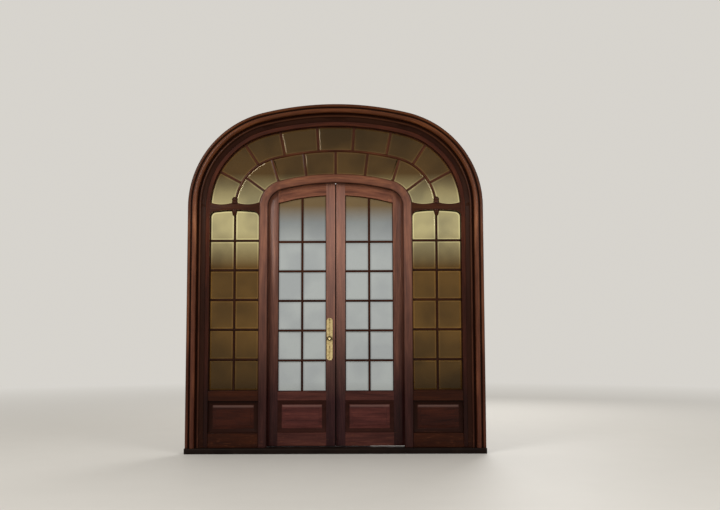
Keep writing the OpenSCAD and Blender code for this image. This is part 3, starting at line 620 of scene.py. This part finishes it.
def put_in_place(bm, name, body, materials, replaces=(), sharp=25.0):
    """Makes a piece that rides on its body. Edges that turn by more than the angle sharp
    stay sharp."""
    mesh = bpy.data.meshes.new(name)
    bm.to_mesh(mesh)
    bm.free()
    for polygon in mesh.polygons:
        polygon.use_smooth = True
    mesh.set_sharp_from_angle(angle=math.radians(sharp))
    for material in materials:
        mesh.materials.append(material)
    piece = bpy.data.objects.new(name, mesh)
    bpy.context.scene.collection.objects.link(piece)
    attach(piece, body)
    if replaces:
        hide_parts(*replaces)


def is_joint(face, haunch_x):
    """Whether a face is where two lengths of an arched member meet: the springing line's
    plane, or one of the planes that run out from the haunches' centres."""
    centre = face.calc_center_median()
    from_haunch = centre - Vector((math.copysign(haunch_x, centre.x), centre.y, SPRINGING))
    return abs(face.normal.y) < 0.001 and abs(face.normal.dot(from_haunch)) < 0.0002


def soften(bm, width, haunch_x, angle=28.0):
    """Bevels the edges that turn outwards by more than the angle, apart from joints."""
    joints = {face for face in bm.faces if is_joint(face, haunch_x)}
    edges = [edge for edge in bm.edges
             if edge.is_convex and edge.calc_face_angle(0) > math.radians(angle)
             and not joints.intersection(edge.link_faces)]
    bmesh.ops.bevel(bm, geom=edges, offset=width, offset_type="OFFSET", affect="EDGES",
                    segments=2, profile=0.5, material=-1, clamp_overlap=True)


def softened(context, node, material, width, angle=28.0):
    """Stands a copy of a CAD node with softened edges in for it."""
    bm = merged_copy(node)
    soften(bm, width, HALF_WIDTH - context.scene.door_timber.haunch_radius, angle)
    put_in_place(bm, node + "_finished", body_of(node), [material], [node])


def bevelled_panes(node, materials, settings):
    """Thins each pane's rim and carries a bevel, in the second material, up to its face."""
    bm = merged_copy(node)
    low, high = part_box(node)
    middle = (low.y + high.y) / 2
    faces = [face for face in bm.faces if abs(face.normal.y) > 0.99]
    depth = (high.y - low.y - settings.rim) / 2
    for vert in bm.verts:
        vert.co.y -= math.copysign(depth, vert.co.y - middle)
    rims = bmesh.ops.inset_individual(bm, faces=faces, thickness=settings.bevel, depth=depth,
                                      use_even_offset=True)
    for face in rims["faces"]:
        face.material_index = 1
    put_in_place(bm, node + "_bevelled", body_of(node), materials, [node], 4.0)


class DOOR_OT_casing(bpy.types.Operator):
    """Finish the moulded casing round the set"""

    bl_idname = "door_set.casing"
    bl_label = "Casing"

    def execute(self, context):
        for node in ("left_casing_leg", "right_casing_leg", "left_casing_haunch",
                     "right_casing_haunch", "casing_crown"):
            softened(context, node, timber(context, "casing"), context.scene.door_timber.edge)
        return {"FINISHED"}


class DOOR_OT_frame(bpy.types.Operator):
    """Finish the jambs, posts, arches and transoms"""

    bl_idname = "door_set.frame"
    bl_label = "Frame"

    def execute(self, context):
        members = {"left_jamb": "frame", "right_jamb": "frame", "frame_arch": "frame",
                   "left_post": "posts", "right_post": "posts", "door_head": "posts",
                   "left_transom": "transoms", "right_transom": "transoms"}
        for node, kind in members.items():
            softened(context, node, timber(context, kind), context.scene.door_timber.edge)
        for side in ("left", "right"):
            drop_bell(context, side)
        return {"FINISHED"}


def panes_of(context, kind):
    """The materials of a pane's face and of its bevel, whose tint is lightened or darkened as a
    painted highlight or shade. The tint of clear panes is a painted reflection, a little
    darker at the foot, grey below the springing and amber in the arched top row. That of
    bronze panes is deepest at the foot and at the crown, and gold in the sidelights' top row."""
    glass = context.scene.door_glass
    lowest = SILL_TOP + TINT_FOOT
    if kind == "clear":
        # Painted reflection in the clear panes: darker grey below the springing, amber at the top
        heights = ((lowest, shaded(glass.clear, 0.9)), (SPRINGING - 0.9, shaded(glass.clear)),
                   (SPRINGING - 0.42, shaded(glass.clear)),
                   (SPRINGING - 0.16, shaded(glass.clear, 0.6)),
                   (SPRINGING + 0.02, shaded(glass.painted_top_reflection)),
                   (SPRINGING + 0.2, shaded(glass.painted_top_reflection)))
        # The bevels of clear panes are darker, a painted shade
        bevel_painted_light, cloudy, sheen, roughness = 0.85, (0.88, 0.88, 0.90), (1.0, 1.0, 1.0), 0.01
    else:
        heights = ((lowest, shaded(glass.foot)), (SPRINGING - 1.3, shaded(glass.bronze)),
                   (SPRINGING - 0.62, shaded(glass.bronze)),
                   (SPRINGING - 0.25, shaded(glass.gold)),
                   (SPRINGING - 0.02, shaded(glass.gold)),
                   (SPRINGING + 0.35, shaded(glass.fan)), (CROWN_TOP, shaded(glass.fan, 0.4)))
        # The bevels of bronze panes are lighter, a painted highlight
        bevel_painted_light, cloudy, sheen, roughness = 1.5, (0.66, 0.66, 0.70), (1.0, 0.85, 0.6), 0.03
    return [finished(kind + part, pane_glass, heights, lift, cloudy, sheen, roughness)
            for part, lift in (("_pane", 1.0), ("_pane_bevel", bevel_painted_light))]


class DOOR_OT_fanlight(bpy.types.Operator):
    """Finish the bars and panes of the fanlight"""

    bl_idname = "door_set.fanlight"
    bl_label = "Fanlight"

    def execute(self, context):
        width = context.scene.door_timber.bar_edge
        softened(context, "fanlight_curved_bar", timber(context, "fan_bars"), width)
        for band in ("outer", "inner"):
            softened(context, f"fanlight_{band}_bars", timber(context, "spokes"), width)
            bevelled_panes(f"fanlight_{band}_glass", panes_of(context, "bronze"),
                           context.scene.door_glass)
        return {"FINISHED"}


def finish_light(side, kind, context):
    """Finishes the rails, panel, bars and panes of a sidelight or a leaf."""
    settings = context.scene.door_timber
    name = f"{side}_{kind}"
    pane_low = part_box(name + "_bars")[0].z + settings.bead
    softened(context, name + "_rails", timber(context, kind + "_rails"), settings.edge)
    softened(context, name + "_panel", timber(context, kind + "_panel"), settings.bar_edge, 5.0)
    softened(context, name + "_bars", timber(context, kind + "_bars", pane_low),
             settings.bar_edge)
    bevelled_panes(name + "_glass", panes_of(context, "clear" if kind == "leaf" else "bronze"),
                   context.scene.door_glass)


class DOOR_OT_sidelights(bpy.types.Operator):
    """Finish the two fixed sidelights"""

    bl_idname = "door_set.sidelights"
    bl_label = "Sidelights"

    def execute(self, context):
        for side in ("left", "right"):
            finish_light(side, "sidelight", context)
        return {"FINISHED"}


class DOOR_OT_leaves(bpy.types.Operator):
    """Finish the two hinged leaves"""

    bl_idname = "door_set.leaves"
    bl_label = "Leaves"

    def execute(self, context):
        width = context.scene.door_timber.edge
        for side in ("left", "right"):
            finish_light(side, "leaf", context)
            for member in ("leaf_top_rail", "leaf_hinge_stile", "leaf_meeting_stile"):
                softened(context, f"{side}_{member}", timber(context, member), width)
        return {"FINISHED"}


def brush_seal(context, name, body, holder, tips, run, steps, axis):
    """A brush seal drawn along the vector run in so many steps. Its section is given by the
    corners of its holder and the two ends of its tips, which are uneven along the axis."""
    settings = context.scene.door_seal
    rng = random.Random(name)
    bm = bmesh.new()
    section = [bm.verts.new(corner) for corner in (*holder, *tips)]
    face = bm.faces.new(section)
    rows = [section[len(holder):]]
    for _ in range(steps):
        grown = bmesh.ops.extrude_face_region(bm, geom=[face, *face.edges])
        verts = [item for item in grown["geom"] if isinstance(item, bmesh.types.BMVert)]
        bmesh.ops.translate(bm, verts=verts, vec=Vector(run) / steps)
        face = next(item for item in grown["geom"] if isinstance(item, bmesh.types.BMFace))
        rows.append(sorted(verts, key=lambda vert: vert.co.dot(Vector(axis)))[-len(tips):])
    for row in rows:
        shift = Vector(axis) * -rng.uniform(0.0, settings.ragged)
        bmesh.ops.translate(bm, verts=row, vec=shift)
    bmesh.ops.remove_doubles(bm, verts=bm.verts, dist=0.00001)
    bmesh.ops.recalc_face_normals(bm, faces=bm.faces)
    pile = finished("brush_pile", brush_pile, settings)
    put_in_place(bm, name, body, [pile], sharp=40.0)


class DOOR_OT_seals(bpy.types.Operator):
    """Add brush seals along the meeting edges and under the leaves"""

    bl_idname = "door_set.seals"
    bl_label = "Brush Seals"

    def execute(self, context):
        seal = context.scene.door_seal
        for side, way, setback, end in (("left", -1, seal.left_in, LEAF_SIDE - SEAL_END),
                                        ("right", 1, seal.right_in, seal.worn_end)):
            back = FRAME_BACK - setback
            self.meeting_seal(context, side, way, back - seal.thick, back)
            self.foot_seal(context, side, way, back - seal.thick, back, end)
        return {"FINISHED"}

    def meeting_seal(self, context, side, way, front, back):
        """A seal in a leaf's meeting edge, whose tips pass the meeting line."""
        proud, taper, top_gap = 0.0002, 0.002, 0.006
        inner, outer = way * (MEETING_EDGE + SEAL_BED), way * (MEETING_EDGE - proud)
        tip = -way * context.scene.door_seal.lap
        holder = [(inner, front, LEAF_FOOT), (inner, back, LEAF_FOOT), (outer, back, LEAF_FOOT),
                  (outer, back - taper / 2, LEAF_FOOT)]
        tips = [(tip, back - taper, LEAF_FOOT), (tip, front + taper, LEAF_FOOT)]
        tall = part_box("right_leaf_top_rail")[1].z - top_gap - LEAF_FOOT
        brush_seal(context, side + "_meeting_seal", side + "_leaf", holder, tips,
                   run=(0, 0, tall), steps=90, axis=(-way, 0, 0))

    def foot_seal(self, context, side, way, front, back, end):
        """A seal under a leaf, from the meeting line to its end."""
        gap = context.scene.door_seal.tip_gap
        bed, shown, taper = 0.0005, 0.002, 0.0015
        near, base, foot = way * gap, LEAF_FOOT + bed, SILL_TOP + gap
        holder = [(near, front, base), (near, back, base), (near, back, base - shown)]
        tips = [(near, back - taper, foot), (near, front + taper, foot)]
        brush_seal(context, side + "_foot_seal", side + "_leaf", holder, tips,
                   run=(way * (end - gap), 0, 0), steps=40, axis=(0, 0, -1))


def screw_head(bm, at, way, settings, turn):
    """A domed, slotted screw head at a point, which looks to the lobby for a way of 1 and to
    the street for -1. It is two halves on either side of the slot."""
    half = bmesh.new()
    bmesh.ops.create_uvsphere(half, u_segments=16, v_segments=8, radius=settings.screw)
    bmesh.ops.scale(half, vec=(1.0, 1.0, 0.3), verts=half.verts)
    for point, normal in (((0, 0, 0), (0, 0, -1)), ((settings.slot / 2, 0, 0), (-1, 0, 0))):
        geom = [*half.verts, *half.edges, *half.faces]
        bmesh.ops.bisect_plane(half, geom=geom, plane_co=point, plane_no=normal,
                               clear_outer=True)
        bmesh.ops.holes_fill(half, edges=[edge for edge in half.edges if edge.is_boundary])
    other = half.copy()
    bmesh.ops.rotate(other, cent=(0, 0, 0), matrix=Matrix.Rotation(math.pi, 3, "Z"),
                     verts=other.verts)
    place = (Matrix.Translation(at) @ Matrix.Rotation(way * -math.pi / 2, 4, "X")
             @ Matrix.Rotation(turn, 4, "Z"))
    for part in (half, other):
        bmesh.ops.transform(part, matrix=place, verts=part.verts)
        mesh = bpy.data.meshes.new("screw_half")
        part.to_mesh(mesh)
        part.free()
        bm.from_mesh(mesh)
        bpy.data.meshes.remove(mesh)


def turned(bm, at, profile):
    """A shape turned about an upright axis through a point, from a profile of radii and
    heights that starts and ends on the axis."""
    verts = [bm.verts.new((at.x + r, at.y, at.z + h)) for r, h in profile]
    edges = [bm.edges.new(pair) for pair in zip(verts, verts[1:])]
    bmesh.ops.spin(bm, geom=[*verts, *edges], cent=at, axis=(0, 0, 1), steps=20,
                   angle=2 * math.pi, use_merge=True)


def close_turned(bm):
    """Joins the seams and poles of turned shapes and points their faces outwards."""
    bmesh.ops.remove_doubles(bm, verts=bm.verts, dist=0.00005)
    bmesh.ops.recalc_face_normals(bm, faces=bm.faces)


def drop_bell(context, side):
    """A turned bell round the lower part of the drop under a transom."""
    settings = context.scene.door_timber
    node = side + "_transom"
    bar_x = sum(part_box(side + "_sidelight_bars"), Vector()).x / 2
    near_bar = [vert.co for vert in frame["nodes"][node].data.vertices
                if abs(vert.co.x - bar_x) < settings.bell and vert.co.z < SPRINGING]
    low_end = min(co.z for co in near_bar)
    lowest = [co for co in near_bar if co.z < low_end + 0.0005]
    at = sum(lowest, Vector()) / len(lowest)
    wide, tall = settings.bell, settings.bell_height
    waist, narrow = tall * 0.55, wide * 0.84
    profile = [(0.0, tall), (wide * 0.94, tall), (wide, tall * 0.86),
               (wide * 0.96, tall * 0.7), (narrow, waist)]
    steps = 7
    for step in range(1, steps + 1):
        angle = math.pi / 2 * step / steps
        radius = narrow * math.cos(angle) if step < steps else 0.0
        profile.append((radius, waist - (waist + settings.bell_drop) * math.sin(angle)))
    bm = bmesh.new()
    turned(bm, at, profile)
    close_turned(bm)
    put_in_place(bm, side + "_drop_bell", "root", [timber(context, "transoms")],
                 sharp=40.0)


def ball_tip(bm, at, radius, up):
    """A turned ball on a short neck, up or down from a point on a hinge's axis."""
    collar, neck, ball = radius * 0.85, radius * 0.5, radius * 0.75
    collar_top, neck_foot, neck_top = 0.0012, 0.0018, 0.0028
    profile = [(0.0, 0.0), (collar, 0.0), (collar, collar_top), (neck, neck_foot),
               (neck, neck_top)]
    start = math.asin(neck / ball)
    middle = neck_top + ball * math.cos(start)
    steps = 6
    for step in range(1, steps + 1):
        angle = start + (math.pi - start) * step / steps
        profile.append((ball * math.sin(angle) if step < steps else 0.0,
                        middle - ball * math.cos(angle)))
    turned(bm, at, [(r, up * h) for r, h in profile])


class DOOR_OT_hinges(bpy.types.Operator):
    """Finish the brass hinges and give them ball tips"""

    bl_idname = "door_set.hinges"
    bl_label = "Hinges"

    def execute(self, context):
        brass = finished("worn_brass", worn_brass, context.scene.door_brass)
        for side in ("left", "right"):
            for half, up in (("frame_hinges", -1), ("leaf_hinges", 1)):
                node = f"{side}_{half}"
                softened(context, node, brass, context.scene.door_brass.hinge_edge)
                self.add_tips(node, side, up, brass)
        return {"FINISHED"}

    def add_tips(self, node, side, up, brass):
        """Ball tips on the ends of a node's knuckles that look away from the other half."""
        joint = next(row for row in frame["joints"] if row["name"].startswith(side))
        axis = Vector(joint["pos_m"])
        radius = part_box(node)[1].y - axis.y
        rings = {round(vert.co.z, 4) for vert in frame["nodes"][node].data.vertices
                 if abs(vert.co.y - axis.y) < radius and abs(vert.co.x - axis.x) < radius * 1.01}
        ends = [z for z in sorted(rings)
                if not any(0 < up * (other - z) < KNUCKLE_REACH for other in rings)]
        bm = bmesh.new()
        for z in ends:
            ball_tip(bm, Vector((axis.x, axis.y, z)), radius, up)
        close_turned(bm)
        put_in_place(bm, node + "_tips", body_of(node), [brass], sharp=50.0)


class DOOR_OT_lock(bpy.types.Operator):
    """Finish the lock plates and the knobs"""

    bl_idname = "door_set.lock"
    bl_label = "Lock Set"

    def execute(self, context):
        settings = context.scene.door_brass
        node = "lock_plates"
        brass = finished("worn_brass", worn_brass, settings)
        low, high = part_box(node)
        bm = merged_copy(node)
        soften(bm, settings.edge, HALF_WIDTH - context.scene.door_timber.haunch_radius)
        plate_fronts = (LEAF_FRONT - settings.plate, FRAME_BACK + settings.plate)
        faces = [face for face in bm.faces if abs(face.normal.y) > 0.99 and any(
            abs(face.calc_center_median().y - front) < 0.0002 for front in plate_fronts)]
        bmesh.ops.inset_region(bm, faces=faces, thickness=settings.border,
                               depth=-settings.sunk, use_boundary=True, use_even_offset=True)
        for front, way in zip(plate_fronts, (1, -1)):
            for share_up, turn in SCREWS:
                at = Vector((KNOB.x, front + way * settings.sunk,
                             low.z + (high.z - low.z) * share_up))
                screw_head(bm, at, way, settings, turn)
        put_in_place(bm, node + "_finished", body_of(node), [brass], [node])
        softened(context, "door_knob", finished("knob_brass", knob_brass, settings),
                 settings.edge)
        return {"FINISHED"}


class DOOR_OT_sill(bpy.types.Operator):
    """Finish the stone sill"""

    bl_idname = "door_set.sill"
    bl_label = "Sill"

    def execute(self, context):
        softened(context, "sill", finished("black_granite", black_granite), SILL_EDGE)
        return {"FINISHED"}


def soft_lamp(name, place, height, size, power):
    """A square soft box that faces a height on the set's middle."""
    lamp = bpy.data.lights.new(name, "AREA")
    lamp.size, lamp.energy = size, power
    box = bpy.data.objects.new(name, lamp)
    away = Vector(place) - Vector((0, 0, height))
    turn = away.to_track_quat("Z", "Y").to_matrix().to_4x4()
    box.matrix_world = Matrix.Translation(place) @ turn
    box.visible_transmission = False
    bpy.context.scene.collection.objects.link(box)


def pale_floor(settings):
    """A floor that fades into the surroundings far from the set."""
    finish = Finish("studio_floor")
    x, y, _ = finish.split(finish.place())
    speck = finish.noise(finish.place(), 3.0, 4.0)
    finish.set(Base_Color=finish.blend(speck, shaded(settings.floor),
                                       shaded(settings.floor, 0.96)),
               Roughness=0.6, Specular_IOR_Level=0.2)
    far = finish.between((x * x + y * y) ** 0.5, *FLOOR_FADE)
    sky = finish.add("Emission", None, {"Color": (*settings.sky, 1.0), "Strength": settings.glow})
    shader = Link(finish, finish.shader.outputs[0])
    mixed = finish.add("MixShader", None, {0: far, 1: shader, 2: sky})
    finish.feed(finish.tree.nodes["Material Output"].inputs["Surface"], mixed)
    return finish.material


class DOOR_OT_stage(bpy.types.Operator):
    """Set up the floor, surroundings, lamps and camera"""

    bl_idname = "door_set.stage"
    bl_label = "Stage"

    def execute(self, context):
        settings = context.scene.door_stage
        bm = bmesh.new()
        bmesh.ops.create_grid(bm, x_segments=1, y_segments=1, size=60.0)
        mesh = bpy.data.meshes.new("studio_floor")
        bm.to_mesh(mesh)
        bm.free()
        floor = bpy.data.objects.new("studio_floor", mesh)
        context.scene.collection.objects.link(floor)
        mesh.materials.append(pale_floor(settings))

        world = bpy.data.worlds.new("studio")
        context.scene.world = world
        world.use_nodes = True
        background = world.node_tree.nodes["Background"]
        background.inputs["Color"].default_value = (*settings.sky, 1.0)
        background.inputs["Strength"].default_value = settings.glow

        for name, place, height, size, share_of_key in LAMPS:
            soft_lamp(name, place, height, size, settings.key * share_of_key)

        camera = bpy.data.objects.new("camera", bpy.data.cameras.new("camera"))
        context.scene.collection.objects.link(camera)
        camera.data.lens = settings.lens
        camera.data.sensor_width = 36.0
        camera.data.clip_end = 200.0
        camera.matrix_world = (Matrix.Translation(settings.camera_at)
                               @ Matrix.Rotation(math.pi / 2 + settings.pitch, 4, "X")
                               @ Matrix.Rotation(settings.roll, 4, "Z"))
        context.scene.camera = camera
        context.scene.view_settings.view_transform = "Standard"
        return {"FINISHED"}


PIECES = ("sill", "casing", "frame", "fanlight", "sidelights", "leaves", "seals", "hinges",
          "lock", "stage")


class DOOR_PT_set(bpy.types.Panel):
    """Lists the door set's pieces and their settings"""

    bl_label = "Door Set"
    bl_idname = "DOOR_PT_set"
    bl_space_type = "VIEW_3D"
    bl_region_type = "UI"
    bl_category = "Door Set"

    def draw(self, context):
        for piece in PIECES:
            self.layout.operator("door_set." + piece)
        for group in GROUPS:
            box = self.layout.box()
            settings = getattr(context.scene, group)
            for name in settings.__annotations__:
                box.prop(settings, name)


GROUPS = {"door_timber": TimberSettings, "door_glass": GlassSettings,
          "door_brass": BrassSettings, "door_seal": SealSettings, "door_stage": StageSettings}
CLASSES = (*GROUPS.values(), DOOR_OT_sill, DOOR_OT_casing, DOOR_OT_frame, DOOR_OT_fanlight,
           DOOR_OT_sidelights, DOOR_OT_leaves, DOOR_OT_seals, DOOR_OT_hinges, DOOR_OT_lock,
           DOOR_OT_stage, DOOR_PT_set)


def register():
    for cls in CLASSES:
        bpy.utils.register_class(cls)
    for name, group in GROUPS.items():
        setattr(bpy.types.Scene, name, bpy.props.PointerProperty(type=group))


def unregister():
    for name in GROUPS:
        delattr(bpy.types.Scene, name)
    for cls in reversed(CLASSES):
        bpy.utils.unregister_class(cls)


def main():
    register()
    for piece in PIECES:
        getattr(bpy.ops.door_set, piece)()


if __name__ == "__main__":
    main()
